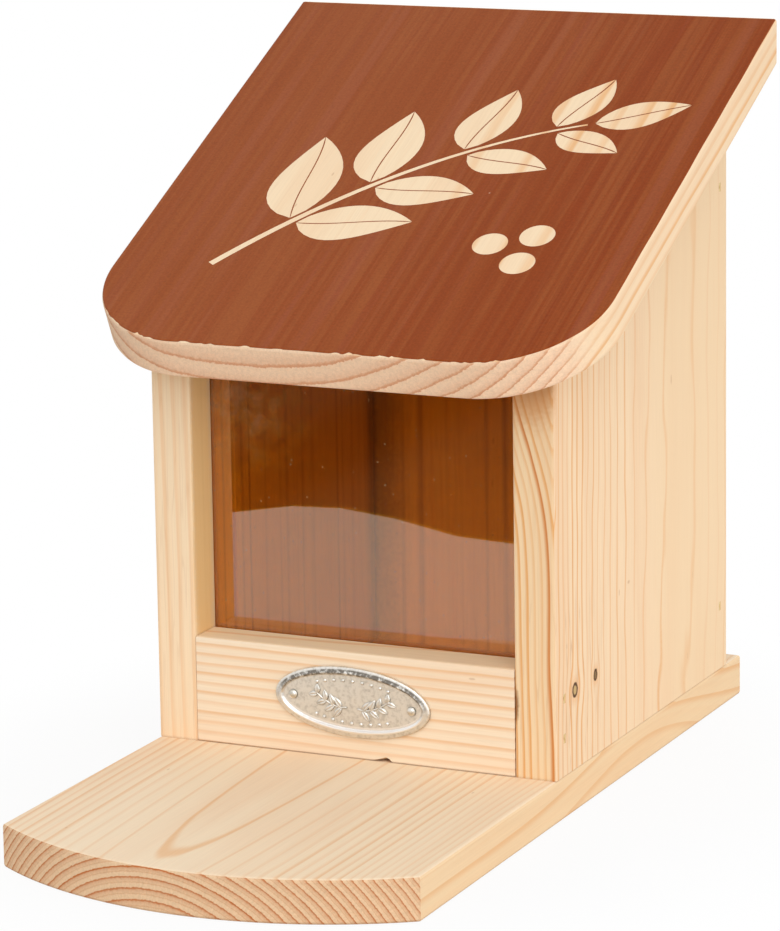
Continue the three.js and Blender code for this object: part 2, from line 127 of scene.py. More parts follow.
class Graph:
    """Builds a node tree. Values may be sockets, numbers, vectors or colours."""

    def __init__(self, tree):
        self.tree = tree
        tree.nodes.clear()

    def node(self, kind, inputs=None, **settings):
        node = self.tree.nodes.new("ShaderNode" + kind)
        for key, value in settings.items():
            setattr(node, key, value)
        for key, value in (inputs or {}).items():
            if isinstance(value, bpy.types.NodeSocket):
                self.tree.links.new(value, node.inputs[key])
            else:
                node.inputs[key].default_value = value
        return node

    def point(self):
        return self.node("TexCoord").outputs["Object"]

    def normal(self):
        return self.node("TexCoord").outputs["Normal"]

    def facing(self, direction, low, high):
        """1 where the surface faces the direction or away from it, 0 where it lies along it."""
        return self.smooth(self.math("ABSOLUTE", self.dot(self.normal(), direction)), low, high)

    def math(self, operation, *values):
        return self.node("Math", dict(enumerate(values)), operation=operation).outputs[0]

    def add(self, a, b):
        return self.math("ADD", a, b)

    def minus(self, a, b):
        return self.math("SUBTRACT", a, b)

    def times(self, a, b):
        return self.math("MULTIPLY", a, b)

    def away_from(self, a, b):
        return self.math("ABSOLUTE", self.minus(a, b))

    def vector(self, operation, *values):
        node = self.node("VectorMath", dict(enumerate(values)), operation=operation)
        scalar = operation in ("DOT_PRODUCT", "LENGTH", "DISTANCE")
        return node.outputs["Value" if scalar else "Vector"]

    def dot(self, a, b):
        return self.vector("DOT_PRODUCT", a, b)

    def length(self, vector):
        return self.vector("LENGTH", vector)

    def scaled(self, vector, factor):
        node = self.node("VectorMath", {0: vector, 3: factor}, operation="SCALE")
        return node.outputs["Vector"]

    def combine(self, x, y, z):
        return self.node("CombineXYZ", {0: x, 1: y, 2: z}).outputs[0]

    def separate(self, vector):
        return self.node("SeparateXYZ", {0: vector}).outputs

    def smooth(self, value, low, high, top=1.0):
        """Soft step from 0 at low to top at high, which may lie under low."""
        inputs = {"Value": value, "From Min": low, "From Max": high, "To Max": top}
        return self.node("MapRange", inputs, interpolation_type="SMOOTHSTEP").outputs[0]

    def ranged(self, value, low, high, start=0.0, end=1.0):
        inputs = {"Value": value, "From Min": start, "From Max": end, "To Min": low, "To Max": high}
        return self.node("MapRange", inputs).outputs[0]

    def noise(self, vector, detail=2.0, roughness=0.5, output="Fac"):
        inputs = {"Vector": vector, "Scale": 1.0, "Detail": detail, "Roughness": roughness}
        return self.node("TexNoise", inputs).outputs[output]

    def mix(self, factor, a, b):
        return self.node("Mix", {"Factor": factor, 6: a, 7: b}, data_type="RGBA").outputs[2]

    def blend(self, factor, a, b):
        return self.node("Mix", {0: factor, 2: a, 3: b}, data_type="FLOAT").outputs[0]

    def far_from(self, point, centre, radii):
        """Distance from an ellipsoid's centre, where its surface is at 1."""
        away = self.vector("SUBTRACT", point, centre)
        return self.length(self.vector("DIVIDE", away, radii))

    def nearness(self, point, centre, radii):
        """1 at an ellipsoid's centre, less with the distance from it."""
        far = self.far_from(point, centre, radii)
        return self.math("EXPONENT", self.times(self.times(far, far), -1))

    def specks(self, point, density, share, radius):
        """Small round specks in a share of the cells of a grid."""
        cells = self.node("TexVoronoi", {"Vector": self.scaled(point, density), "Scale": 1.0})
        first = self.node("SeparateColor", {0: cells.outputs["Color"]}).outputs[0]
        picked = self.math("LESS_THAN", first, share)
        return self.smooth(cells.outputs["Distance"], radius * 1.6, radius, picked)

    def bump(self, strength, distance, height, **others):
        inputs = {"Strength": strength, "Distance": distance, "Height": height, **others}
        return self.node("Bump", inputs).outputs[0]

    def open_air(self, distance, samples):
        inputs = {"Distance": distance}
        return self.node("AmbientOcclusion", inputs, samples=samples).outputs["AO"]

    def surface(self, shader):
        self.node("OutputMaterial", {"Surface": shader.outputs[0]})

    def principled(self, inputs):
        self.surface(self.node("BsdfPrincipled", inputs))


def new_material(name, kind=Graph, *others):
    material = bpy.data.materials.new(name)
    material.use_nodes = True
    return material, kind(material.node_tree, *others)


# Pine: growth rings around a pith line, so that the grain runs on from face to face

long_pale = srgb(248, 222, 186)
long_warm = srgb(244, 211, 173)
long_line = srgb(234, 174, 112)
accent_line = srgb(214, 138, 74)
hair_line = srgb(200, 150, 110)
end_pale = srgb(238, 205, 168)
end_line = srgb(196, 112, 52)
inner_line = srgb(150, 92, 54)
fleck_brown = srgb(196, 150, 108)
# Painted shade in creases and where boards meet
crease_shade_dark = srgb(140, 84, 44)
knot_dark = srgb(88, 56, 26)
knot_core = srgb(214, 184, 126)

AXIS_X = Vector((1, 0, 0))
AXIS_Y = Vector((0, 1, 0))
AXIS_Z = Vector((0, 0, 1))
up_the_slope = Vector((0, math.cos(roof_slope), math.sin(roof_slope)))
off_the_roof = Vector((0, -math.sin(roof_slope), math.cos(roof_slope)))
middle_grey = (0.5, 0.5, 0.5)
no_cast = (1, 1, 1, 1)

# What every plank has: its directions, the place and lean of the middle of the tree across and
# through it, rings that lie spacing apart at the radius first, how far they wander, and a seed.
# Lengths are in millimetres, but for the origin.
plank_needs = "across through along pith tilt first spacing wander seed"
plank_usual = {
    # A point of the plank, and the bend of the middle of the tree
    "origin": Vector((0, 0, 0)), "bow": (0, 0),
    # Rings lie closer further out if power is over 1, and wander over a length of run
    "power": 1.0, "phase": 0.0, "run": 95,
    # Strength of the lines on faces and ends, and the number and tone of one darker ring
    "contrast": 0.85, "end_contrast": 1.0, "accent": -1, "accent_tone": long_line,
    # Where the dark part of a ring starts on ends, and where the surface lies along the rings
    "late_from": 0.5, "flat_from": 0.8,
    # Wider lines, every other one thinned out, on edges, and a faint second line on ends
    "bold": 0.0, "between": 0.0,
    # Tint of the broad faces, the edges and the ends
    "cast": no_cast, "side_cast": no_cast, "end_cast": no_cast,
    # Way that the board's inner face looks
    "inward": (0, 0, 0),
    # Strength of the thin brown hairs
    "hairs": 0.15,
    "marks": (), "bends": (),
}
Plank = namedtuple("Plank", [*plank_needs.split(), *plank_usual], defaults=plank_usual.values())
Mark = namedtuple("Mark", "kind centre radii")
Bend = namedtuple("Bend", "centre radii shift")


def in_mm(kind, *rows):
    """Marks or bends from rows of their fields, with lengths in millimetres."""
    return [kind(*(part if isinstance(part, str) else Vector(part) * mm for part in row))
            for row in rows]


base_plank = Plank(
    AXIS_X, AXIS_Z, AXIS_Y, origin=Vector((0, -114 * mm, 0)), pith=(-7.6, -32.1),
    tilt=(-0.012, 0.0245), bow=(0, -0.0945), first=37, spacing=3.1, power=1.8,
    phase=-0.19, wander=0.12, seed=3, contrast=0.6, accent=108, late_from=0.65,
    flat_from=0.86, bold=1.0, between=0.4, cast=(1.0, 1.045, 1.12, 1),
    side_cast=(0.93, 0.88, 0.8, 1), end_cast=(0.9, 0.87, 0.83, 1), hairs=0.0,
    bends=in_mm(Bend, ((60, 48, 6), (16, 54, 20), (-6, 0))),
)
roof_plank = Plank(
    AXIS_X, off_the_roof, up_the_slope, origin=roof_rear_edge, pith=(-18.2, 104.5),
    tilt=(0.02, 0.01), first=100, spacing=6, power=3.4, phase=-0.55,
    wander=0.4, seed=11, late_from=0.68, side_cast=(1.0, 0.99, 0.99, 1),
    end_contrast=0.7, end_cast=(1.1, 1.09, 1.17, 1), hairs=0.05,
)
right_wall_plank = Plank(
    AXIS_Y, AXIS_X, AXIS_Z, pith=(72, -76), tilt=(0.018, 0), first=150,
    spacing=1.7, phase=0.6, wander=0.36, run=50, seed=23, contrast=1.0,
    accent=195, accent_tone=accent_line, late_from=0.36, cast=(0.97, 0.93, 0.905, 1),
    side_cast=(0.97, 0.94, 0.87, 1), hairs=0.04,
    marks=in_mm(
        Mark,
        ("ring_knot", (60, -3.5, 34.1), (9, 1.9, 2.1)), ("knot", (60, 11.2, 34.6), (9, 1.3, 1.7)),
        # At the top of the front edge, under the roof, two stains: partly the wood's own darker
        # patch, partly painted shade under the roof
        ("resin", (48.3, -17, 32), (1.2, 3, 6.5)), ("stain", (53, -17, 119), (8, 3, 9)),
        ("stain", (54, -17, 122), (9, 3, 14)), ("calm", (60, 90, 90), (1, 46, 140)),
        ("fleck", (60, 36, 55), (1, 1.0, 0.6)), ("fleck", (60, 69, 106), (1, 0.5, 1.6)),
    ),
    bends=in_mm(Bend, ((52, -17, 128), (30, 1.3, 30), (0, 10.5))),
)
left_wall_plank = Plank(
    AXIS_Y, AXIS_X, AXIS_Z, pith=(60, 95), tilt=(0.01, -0.02), first=150,
    spacing=3.2, wander=0.4, seed=37, contrast=0.35, side_cast=(1.02, 1.02, 1.03, 1),
    inward=AXIS_X,
    # Painted light on the inner face before the pane, and painted shade in the back corner
    marks=in_mm(Mark, ("lit", (-48, -11, 80), (1, 7, 90)),
                ("shade", (-48, 102, 90), (1, 8, 190))),
)
back_wall_plank = Plank(
    AXIS_X, AXIS_Y, AXIS_Z, pith=(-20, 180), tilt=(0.03, 0.02), first=75,
    spacing=2.6, power=1.2, wander=0.6, seed=41, inward=-AXIS_Y,
    # Painted shade in the back corner, with a narrower darker line at the corner itself
    marks=in_mm(Mark, ("shade", (-46, 102, 90), (13, 1, 190)),
                ("shade", (-48, 102, 90), (2, 1, 190))),
)
rail_plank = Plank(
    AXIS_Z, AXIS_Y, AXIS_X, pith=(-62, 8), tilt=(-0.012, 0), first=90,
    spacing=2.7, wander=0.35, seed=53, contrast=0.75, cast=(1.01, 1.08, 1.21, 1),
    hairs=0.05,
)

# How far from its centre a mark is full and gone, how strong it is, and its colour. A shade mark is
# painted shade and a lit mark is painted light.
soft_marks = {
    "resin": (0.35, 1.05, 0.85, srgb(140, 88, 42)),
    # A stain here is partly the wood's own darker patch and partly painted shade under the roof
    "stain": (0.4, 1.3, 0.42, srgb(210, 146, 88)),
    "shade": (0.0, 1.0, 0.6, srgb(104, 50, 14)),
    "calm": (0.5, 1.1, 0.6, srgb(245, 218, 178)),
    "fleck": (0.3, 1.2, 0.45, fleck_brown),
    "lit": (0.5, 1.1, 0.75, srgb(252, 208, 138)),
}
# How strongly the pale core of a knot shows
knot_cores = {"ring_knot": 0.85, "knot": 0.25}

# Noise of the wood and the paint: size across and length along in millimetres, seed, detail
# and roughness
noises = {
    "quick": (5, 30, 7, 1, 0.5),
    "rag": (0.7, 8, 3, 2, 0.5),
    "broad": (14, 120, 19, 2, 0.5),
    "fibre": (0.5, 26, 31, 3, 0.65),
    "streaks": (1.3, 75, 37, 2, 0.6),
    "hairs": (2.4, 55, 47, 2, 0.5),
    "pores": (0.45, 0.45, 43, 1, 0.5),
    "inner": (3.4, 600, 61, 3, 0.5),
    "strokes": (1.6, 120, -6, 3, 0.6),
    "patches": (22, 60, -2, 2, 0.5),
    "bands": (5, 260, 4, 2, 0.5),
}
slow_size = 28
slow_share = 5
quick_share = 1.6

ring_start = 100
rag_share = 0.22
accent_widening = 0.12
bold_widening = 0.35
bold_thinning = 0.9
second_line = 0.45
rays_around = 110.0
ray_width = 1.5 * mm
ray_length = 2 * mm
knot_reach = 3
knot_pull = 0.75
knot_halo = (20 * mm, 16 * mm, 26 * mm)
mark_jitter = 0.18
# Reach and strength of the painted shade in creases and where boards meet
crease_shade_reach = 1.1 * mm
crease_shade_strength = 0.42
inner_contrast = 0.5
fleck_strength = 0.4
fleck_stretch = 0.35


class Wood(Graph):
    """Node tree for the wood of one plank."""

    def __init__(self, tree, plank):
        super().__init__(tree)
        self.plank = plank
        self.spot = self.point()
        local = self.vector("SUBTRACT", self.spot, plank.origin)
        self.u = self.dot(local, plank.across)
        self.v = self.dot(local, plank.through)
        self.w = self.dot(local, plank.along)
        self.end = self.facing(plank.along, 0.3, 0.75)
        self.side = self.facing(plank.across, 0.5, 0.85)
        self.inner = self.smooth(self.dot(self.normal(), plank.inward), 0.5, 0.9)

    def grained(self, size, length, seed, detail, roughness, flat=False, output="Fac"):
        """Noise with grains of a size across the plank and a length along it."""
        place = self.combine(
            self.add(self.times(self.u, 1 / (size * mm)), self.plank.seed + seed),
            self.times(self.v, 0.0 if flat else 1 / (size * mm)),
            self.times(self.w, 1 / (length * mm)),
        )
        return self.noise(place, detail, roughness, output)

    def field(self, kind, **others):
        return self.grained(*noises[kind], **others)

    def wander(self):
        """Sideways drift of the lines, as a vector."""
        slow = self.grained(slow_size, self.plank.run, 0, 1.5, 0.5, output="Color")
        quick = self.field("quick", output="Color")
        reach = self.plank.wander * mm
        drifts = [self.scaled(self.vector("SUBTRACT", field, middle_grey), reach * share)
                  for field, share in ((slow, slow_share), (quick, quick_share))]
        return self.vector("ADD", *drifts)

    def bent(self):
        """Place across and through, where a knot or a lean of the trunk pushes the grain aside."""
        plank, u, v = self.plank, self.u, self.v
        for bend in plank.bends:
            near = self.nearness(self.spot, bend.centre, bend.radii)
            u = self.math("MULTIPLY_ADD", near, bend.shift[0], u)
            v = self.math("MULTIPLY_ADD", near, bend.shift[1], v)
        for mark in plank.marks:
            if mark.kind in knot_cores:
                middle = (mark.centre - plank.origin).dot(plank.across)
                near = self.nearness(self.spot, mark.centre, mark.radii * knot_reach)
                pull = self.times(near, knot_pull)
                u = self.add(u, self.times(self.minus(middle, u), pull))
        return u, v

    def from_pith(self):
        """Place across and through, from the middle of the tree."""
        plank = self.plank
        drift = self.separate(self.wander())
        places = []
        for side, place in enumerate(self.bent()):
            lean = self.math("MULTIPLY_ADD", self.w, plank.bow[side], plank.tilt[side])
            pith = self.add(plank.pith[side] * mm, self.times(self.w, lean))
            places.append(self.minus(self.add(place, drift[side]), pith))
        return places

    def tangent(self, places, radius):
        """1 where the surface lies along the rings, which then show as wide bands."""
        outward = self.vector("ADD", self.scaled(self.plank.across, places[0]),
                              self.scaled(self.plank.through, places[1]))
        facing = self.math("ABSOLUTE", self.dot(outward, self.normal()))
        return self.smooth(self.math("DIVIDE", facing, radius), 0.75, 1.0)

    def ring_strength(self, number, accent):
        """How dark the line of a ring gets. On edges, bold planks have every other one thinned."""
        chance = self.node("TexWhiteNoise", {"W": number}, noise_dimensions="1D")
        strength = self.ranged(chance.outputs["Value"], 0.35, 1.0)
        strength = self.math("MAXIMUM", strength, self.ranged(self.end, 0.0, 0.88))
        thinned = self.times(self.math("MODULO", number, 2.0), self.side)
        kept = self.math("MULTIPLY_ADD", thinned, -bold_thinning * self.plank.bold, 1.0)
        return self.math("MAXIMUM", self.times(strength, kept), accent)

    def late_wood(self, part, accent, flat):
        """Darkness along a ring, from 0 where it begins to 1 near its end."""
        plank = self.plank
        deep = accent_widening if plank.accent_tone != long_line else 0.0

        def limit(face, end, band):
            return self.blend(flat, self.blend(self.end, face, end), band)

        start = limit(0.38, plank.late_from, plank.flat_from)
        start = self.math("MULTIPLY_ADD", accent, -deep, start)
        start = self.math("MULTIPLY_ADD", self.side, -bold_widening * plank.bold, start)
        flat_top = (1 + plank.flat_from) / 2
        rise = self.smooth(part, start, limit(0.84, 0.93, flat_top))
        fall = self.smooth(part, 1.0, limit(0.86, 0.955, flat_top + 0.02))
        slow_rise = self.smooth(part, 0.2, 0.95, self.times(self.end, 0.4))
        late = self.times(self.math("MAXIMUM", rise, slow_rise), fall)
        second = self.smooth(self.away_from(part, second_line), 0.1, 0.0,
                             self.times(self.end, plank.between))
        return self.math("MAXIMUM", late, second)

    def rings(self):
        """Darkness of the growth rings, the accent ring and the rays that cross them."""
        plank = self.plank
        places = self.from_pith()
        radius = self.length(self.combine(*places, 0.0))
        count = self.math("POWER", self.times(radius, 1 / (plank.first * mm)), plank.power)
        scale = plank.first / (plank.power * plank.spacing)
        rag = self.times(self.minus(self.field("rag"), 0.5), rag_share)
        ring = self.add(self.math("MULTIPLY_ADD", count, scale, plank.phase + ring_start),
                        self.times(rag, self.end))
        number = self.math("FLOOR", ring)
        accent = self.math("COMPARE", number, float(plank.accent), 0.5)
        if plank.accent_tone != long_line:
            accent = self.times(accent, self.side)
        late = self.times(
            self.late_wood(self.math("FRACT", ring), accent, self.tangent(places, radius)),
            self.ring_strength(number, accent))
        around = self.times(self.math("ARCTAN2", *places), rays_around)
        rays = self.noise(self.combine(around, self.times(radius, 1 / ray_width),
                                       self.times(self.w, 1 / ray_length)), detail=1.5)
        return late, accent, rays

    def knot_nearness(self):
        """1 at the plank's ringed knot, less with the distance from it."""
        for mark in self.plank.marks:
            if mark.kind == "ring_knot":
                return self.nearness(self.spot, mark.centre, knot_halo)
        return 0.0

    def pale_wood(self):
        """Colour between the rings, with warm patches, streaks and hairs."""
        hairs = self.plank.hairs
        warm = self.smooth(self.field("broad"), 0.4, 0.72, 0.7)
        pale = self.mix(self.end, self.mix(warm, long_pale, long_warm), end_pale)
        streaks = self.smooth(self.field("streaks"), 0.5, 0.75, 0.08 + 0.8 * hairs)
        pale = self.mix(streaks, pale, long_line)
        haired = self.math("MULTIPLY_ADD", self.knot_nearness(), 0.5, hairs)
        hair = self.smooth(self.away_from(self.field("hairs"), 0.5), 0.035, 0.0, haired)
        return self.mix(hair, pale, hair_line)

    def lined(self, late, accent):
        """Colour with the dark lines on it, which are straight streaks on an inner face."""
        plank = self.plank
        line = self.mix(self.end, self.mix(accent, long_line, plank.accent_tone), end_line)
        line = self.mix(self.inner, line, inner_line)
        edged = self.math("MULTIPLY_ADD", self.side, bold_widening * plank.bold, plank.contrast)
        outer = self.blend(self.end, edged, plank.end_contrast)
        contrast = self.blend(self.inner, outer, inner_contrast)
        return self.mix(self.times(late, contrast), self.pale_wood(), line)

    def marked(self, colour):
        """Knots, resin and other marks on top of the grain, among them painted shade and painted
        light.
        """
        jitter = self.ranged(self.noise(self.scaled(self.spot, 900.0), detail=1),
                             -mark_jitter, mark_jitter)
        for mark in self.plank.marks:
            edge = self.add(self.far_from(self.spot, mark.centre, mark.radii), jitter)
            if mark.kind in soft_marks:
                full, none, strength, tone = soft_marks[mark.kind]
                colour = self.mix(self.smooth(edge, none, full, strength), colour, tone)
                continue
            colour = self.mix(self.smooth(edge, 2.6, 0.9, 0.45), colour, long_line)
            core = self.smooth(edge, 0.72, 0.45, knot_cores[mark.kind])
            knot = self.mix(core, knot_dark, knot_core)
            colour = self.mix(self.smooth(edge, 1.12, 0.92), colour, knot)
        return colour

    def tinted(self, colour):
        """Tint of the face, and painted shade from ambient occlusion in creases, holes and where
        two boards meet.
        """
        plank = self.plank
        cast = self.mix(self.side, plank.cast, plank.side_cast)
        cast = self.mix(self.end, cast, plank.end_cast)
        # Painted shade where the surface is closed in by other surfaces
        closed = self.smooth(self.open_air(crease_shade_reach, 6), 0.8, 0.35, crease_shade_strength)
        return self.mix(closed, self.vector("MULTIPLY", colour, cast), crease_shade_dark)

    def looks(self):
        """Colour, roughness and height of bare planed pine."""
        late, accent, rays = self.rings()
        streaks = self.smooth(self.field("inner", flat=True), 0.48, 0.72)
        late = self.blend(self.inner, late, streaks)
        fibre = self.field("fibre")
        grains = self.add(self.times(self.field("pores"), 0.5), self.times(rays, 0.5))
        texture = self.blend(self.end, self.ranged(fibre, 0.92, 1.07),
                                  self.ranged(grains, 0.92, 1.06, 0.35, 0.65))
        place = self.combine(self.u, self.v, self.times(self.w, fleck_stretch))
        flecks = self.times(self.specks(place, 210.0, 0.16, 0.055), fleck_strength)
        colour = self.mix(flecks, self.lined(late, accent), fleck_brown)
        colour = self.tinted(self.marked(self.scaled(colour, texture)))
        height = self.add(self.times(late, self.blend(self.end, 0.35, 0.06)),
                          self.blend(self.end, fibre, grains))
        rough = self.add(self.ranged(self.field("broad"), 0.55, 0.68), self.times(self.end, 0.12))
        return colour, rough, height


def pine(name, plank):
    material, wood = new_material(name, Wood, plank)
    colour, rough, height = wood.looks()
    normal = wood.bump(wood.blend(wood.end, 0.22, 0.45), 0.12 * mm, height)
    wood.principled({"Base Color": colour, "Roughness": rough, "Normal": normal,
                     "IOR": 1.45, "Specular IOR Level": 0.3})
    return material


def crushed_pine(name):
    material, graph = new_material(name)
    fibres = graph.noise(graph.vector("MULTIPLY", graph.point(), (900, 900, 300)), detail=3)
    tone = graph.smooth(fibres, 0.35, 0.65)
    graph.principled({"Base Color": graph.mix(tone, srgb(232, 206, 152), srgb(214, 178, 120)),
                      "Roughness": graph.ranged(fibres, 0.65, 0.85),
                      "Normal": graph.bump(0.4, 0.1 * mm, fibres)})
    return material


def paint(name, plank):
    """Satin brown paint, brushed thinly along the slope so that the grain shows in it."""
    material, wood = new_material(name, Wood, plank)
    late = wood.rings()[0]
    strokes = wood.field("strokes")
    patches = wood.field("patches")
    colour = wood.mix(wood.smooth(strokes, 0.36, 0.66), srgb(138, 57, 9), srgb(150, 76, 31))
    for share, tone in (
        (wood.smooth(patches, 0.45, 0.7, 0.5), srgb(139, 61, 15)),
        # Paler towards the left of the roof: a painted sheen
        (wood.smooth(wood.u, 75 * mm, -60 * mm, 0.42), srgb(160, 92, 52)),
        (wood.smooth(wood.field("bands"), 0.52, 0.68, 0.3), srgb(158, 88, 62)),
        (wood.times(late, 0.22), srgb(126, 54, 20)),
    ):
        colour = wood.mix(share, colour, tone)
    grain = wood.noise(wood.scaled(wood.spot, 1500.0), detail=2, roughness=0.6)
    colour = wood.scaled(colour, wood.ranged(grain, 0.74, 1.26))
    specks = wood.times(wood.specks(wood.spot, 95.0, 0.09, 0.02), 0.7)
    height = wood.add(wood.times(strokes, 0.6), wood.times(late, 0.5))
    wood.principled({
        "Base Color": wood.mix(specks, colour, srgb(205, 170, 140)),
        "Roughness": wood.ranged(patches, 0.45, 0.58),
        "Normal": wood.bump(0.25, 0.1 * mm, height), "IOR": 1.4, "Specular IOR Level": 0.15,
    })
    return material


# Pane and metals

pane_amber = (1.0, 0.51, 0.04, 1)
pane_haze = srgb(222, 160, 104)
pane_dust = srgb(240, 200, 150)
lamp_amber = (1.0, 0.86, 0.66, 1)
haze_centre = (-40 * mm, -4 * mm, 112 * mm)
haze_radii = (28 * mm, 20 * mm, 32 * mm)
# Colour of grime with painted shade in the metals' recesses
dirt_and_shade_dark = (0.11, 0.09, 0.07, 1)
# Colour of the painted highlight inside the plate's lower rim
highlight_white = (0.98, 0.97, 0.95, 1)
metal_edge = 0.25 * mm
band_fade = 0.4 * mm


def acrylic(name):
    """Acrylic sheet with an amber cast, smears and dust. Lamp light passes it."""
    material, graph = new_material(name)
    point = graph.point()
    smears = graph.noise(graph.scaled(point, 150.0), detail=5, roughness=0.6)
    corner = graph.smooth(graph.far_from(point, haze_centre, haze_radii), 0.2, 1.0)
    haze = graph.smooth(smears, 0.42, 0.72, graph.blend(corner, 0.3, 0.004))
    dust = graph.times(graph.specks(point, 420.0, 0.3, 0.085), 0.3)
    dull = graph.math("MAXIMUM", dust, haze)
    tint = graph.mix(graph.smooth(dull, 0.0, 0.2), pane_amber, pane_haze)
    pane = graph.node("BsdfPrincipled", {
        "Base Color": graph.mix(graph.smooth(dust, 0.0, 0.3), tint, pane_dust),
        "Roughness": graph.ranged(smears, 0.0, 0.03),
        "Transmission Weight": graph.minus(1.0, dull),
        "IOR": 1.49, "Coat Weight": 1.0, "Coat IOR": 2.0, "Coat Roughness": 0.0,
    })
    clear = graph.node("BsdfTransparent", {"Color": lamp_amber})
    lamp = graph.node("LightPath").outputs["Is Shadow Ray"]
    graph.surface(graph.node("MixShader", {0: lamp, 1: pane.outputs[0], 2: clear.outputs[0]}))
    return material


def plate_bands(graph, point):
    """Tarnish with painted shade in the plate's upper rim, and a painted highlight inside its lower
    rim, from 0 to 1.
    """
    local = graph.vector("SUBTRACT", point, plate_centre)
    across = graph.dot(local, (math.cos(plate_turn), 0, -math.sin(plate_turn)))
    height = graph.dot(local, (math.sin(plate_turn), 0, math.cos(plate_turn)))
    shape, slant = (graph.combine(graph.times(across, 2 ** power / plate_length ** power),
                                  graph.times(height, 2 ** power / plate_height ** power), 0.0)
                    for power in (1, 2))
    reach = graph.length(shape)
    inset = graph.math("DIVIDE", graph.times(graph.minus(1.0, reach), reach), graph.length(slant))
    bands = []
    for start, end, sunny in ((0.5 * mm, 2.0 * mm, 1), (1.1 * mm, 2.9 * mm, -1)):
        band = graph.times(graph.smooth(inset, start, start + band_fade),
                              graph.smooth(inset, end + band_fade, end))
        bands.append(graph.smooth(height, -sunny * mm, sunny * 4 * mm, band))
    return bands


def metal(name, colour, stain, roughness, grain=(900, 900, 900), metallic=1.0, dirt_and_shade_strength=0.0,
          banded=False):
    """Worn metal with fine scratches, dull patches and softened edges, and grime with painted shade
    in its recesses where they do not face up.
    """
    material, graph = new_material(name)
    point = graph.point()
    patches = graph.noise(graph.scaled(point, 800.0), detail=4, roughness=0.6)
    scratches = graph.noise(graph.vector("MULTIPLY", point, grain), detail=3)
    worn = graph.add(patches, scratches)
    soft = graph.node("Bevel", {"Radius": metal_edge}, samples=4)
    clean = graph.mix(graph.smooth(patches, 0.42, 0.72), colour, stain)
    # Darker in recesses and on faces that do not look up: grime with painted shade
    dirt_and_shade = graph.smooth(graph.open_air(0.9 * mm, 8), 0.95, 0.45, dirt_and_shade_strength)
    dirt_and_shade = graph.smooth(graph.dot(graph.normal(), AXIS_Z), 0.3, 0.05, dirt_and_shade)
    if banded:
        # A painted highlight inside the lower rim, and tarnish with painted shade in the upper rim
        tarnish_and_shade, painted_highlight = plate_bands(graph, point)
        clean = graph.mix(painted_highlight, clean, highlight_white)
        speckled = graph.smooth(patches, 0.3, 0.55, tarnish_and_shade)
        dirt_and_shade = graph.math("MAXIMUM", dirt_and_shade, graph.times(speckled, 0.85))
    graph.principled({
        "Base Color": graph.mix(dirt_and_shade, clean, dirt_and_shade_dark), "Metallic": metallic,
        "Normal": graph.bump(0.18, 0.06 * mm, worn, Normal=soft.outputs[0]),
        "Roughness": graph.ranged(worn, roughness - 0.08, roughness + 0.12),
    })
    return material


# Shapes drawn flat, as lists of (x, y)

def left_of(way):
    return Vector((-way.y, way.x))


def turned(angle):
    """Direction at the angle, and the one to its left."""
    along = Vector((math.cos(angle), math.sin(angle)))
    return along, left_of(along)


def circle(steps):
    return [2 * math.pi * step / steps for step in range(steps)]


def leaf_swell(share, width):
    return width / 2 * math.sin(math.pi * share ** 0.8) ** 0.9


def leaf(base, angle, length, width, curl, rib=0.35 * mm, tip=0.12 * mm, steps=14):
    """Both halves of a pointed leaf, with a rib left between them that is tip wide at its ends."""
    halves = []
    along, aside = turned(angle)
    for side in (-1, 1):
        outer, inner = [], []
        for step in range(steps + 1):
            share = step / steps
            lean = length * curl * math.sin(math.pi * share / 2) ** 2
            middle = base + (along * (length * share) + aside * lean)
            swell = leaf_swell(share, width) if 0 < step < steps else tip / 2
            gap = max(tip / 2, min(rib / 2, swell * 0.4))
            outer.append(middle + aside * (side * swell))
            inner.append(middle + aside * (side * gap))
        halves.append([tuple(point) for point in outer + inner[-2:0:-1]])
    return halves


def curved_stem(*corners, steps):
    """Points of a curve from one corner to the last, bent to the middle one, all in mm."""
    start, bend, end = (Vector(corner) * mm for corner in corners)
    shares = [step / steps for step in range(steps + 1)]
    return [start * (1 - share) ** 2 + bend * (2 * share * (1 - share)) + end * share ** 2
            for share in shares]


def heading(points, index):
    """Direction of a line of points at one of them."""
    after = points[min(index + 1, len(points) - 1)]
    return (after - points[max(index - 1, 0)]).normalized()


def heading_angle(points, index):
    way = heading(points, index)
    return math.atan2(way.y, way.x)


def tapered_stem(points, start_width, end_width):
    left, right = [], []
    for index, point in enumerate(points):
        aside = left_of(heading(points, index))
        width = start_width + (end_width - start_width) * index / (len(points) - 1)
        left.append(point + aside * (width / 2))
        right.append(point - aside * (width / 2))
    return [tuple(point) for point in left + right[::-1]]


def disc(x, y, radius, steps=32):
    return [(x + radius * math.cos(turn), y + radius * math.sin(turn)) for turn in circle(steps)]


def inside(loop, x, y):
    hit = False
    for (ax, ay), (bx, by) in zip(loop, loop[1:] + loop[:1]):
        if (ay > y) != (by > y) and x < (bx - ax) * (y - ay) / (by - ay) + ax:
            hit = not hit
    return hit


